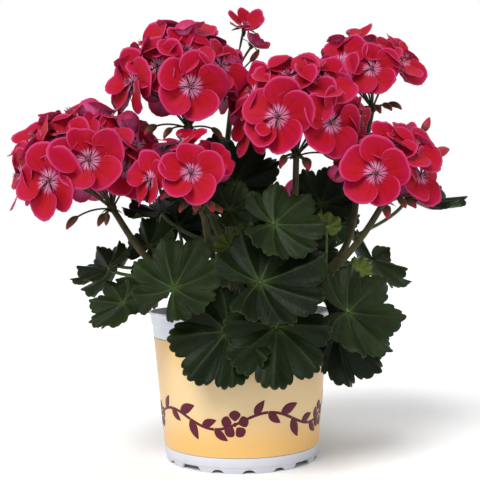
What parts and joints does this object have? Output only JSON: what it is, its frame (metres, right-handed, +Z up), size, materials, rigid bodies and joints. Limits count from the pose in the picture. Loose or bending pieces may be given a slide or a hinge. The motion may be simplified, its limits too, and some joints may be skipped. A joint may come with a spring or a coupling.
{
  "type": "potted zonal pelargonium",
  "caption": "Bushy flowering plant with round scalloped leaves and domed clusters of red blooms on long stalks, growing from soil in a tapered nursery pot with a printed band.",
  "frame": {"origin": "on the ground, under the middle of the plant's outer box; the pot's axis stands 13 mm in front of it and 4 mm to its left", "axes": "+Z up; -Y towards the side that the picture shows; +X to the right of that view"},
  "size_m": [0.2992, 0.2136, 0.3022],
  "materials": {
    "pot": "satin white",
    "label": "satin printed film",
    "soil": "rough, crumbly",
    "foliage": "velvety",
    "stalk": "matt, finely hairy",
    "petal": "velvety"
  },
  "bodies": {
    "root": {"pot": "pot", "label_band": "label", "soil": "soil", "shoot_left": "foliage", "shoot_centre": "foliage", "shoot_front": "foliage", "shoot_right": "foliage", "shoot_back_right": "foliage", "shoot_back_left": "foliage", "shoot_back": "foliage", "umbel_left_florets": "petal", "umbel_left_stalk": "stalk", "umbel_top_florets": "petal", "umbel_top_stalk": "stalk", "umbel_crown_florets": "petal", "umbel_crown_stalk": "stalk", "umbel_young_florets": "petal", "umbel_young_stalk": "stalk", "umbel_centre_florets": "petal", "umbel_centre_stalk": "stalk", "umbel_high_florets": "petal", "umbel_high_stalk": "stalk", "umbel_right_florets": "petal", "umbel_right_stalk": "stalk", "umbel_rear_florets": "petal", "umbel_rear_stalk": "stalk"}
  },
  "joints": []
}
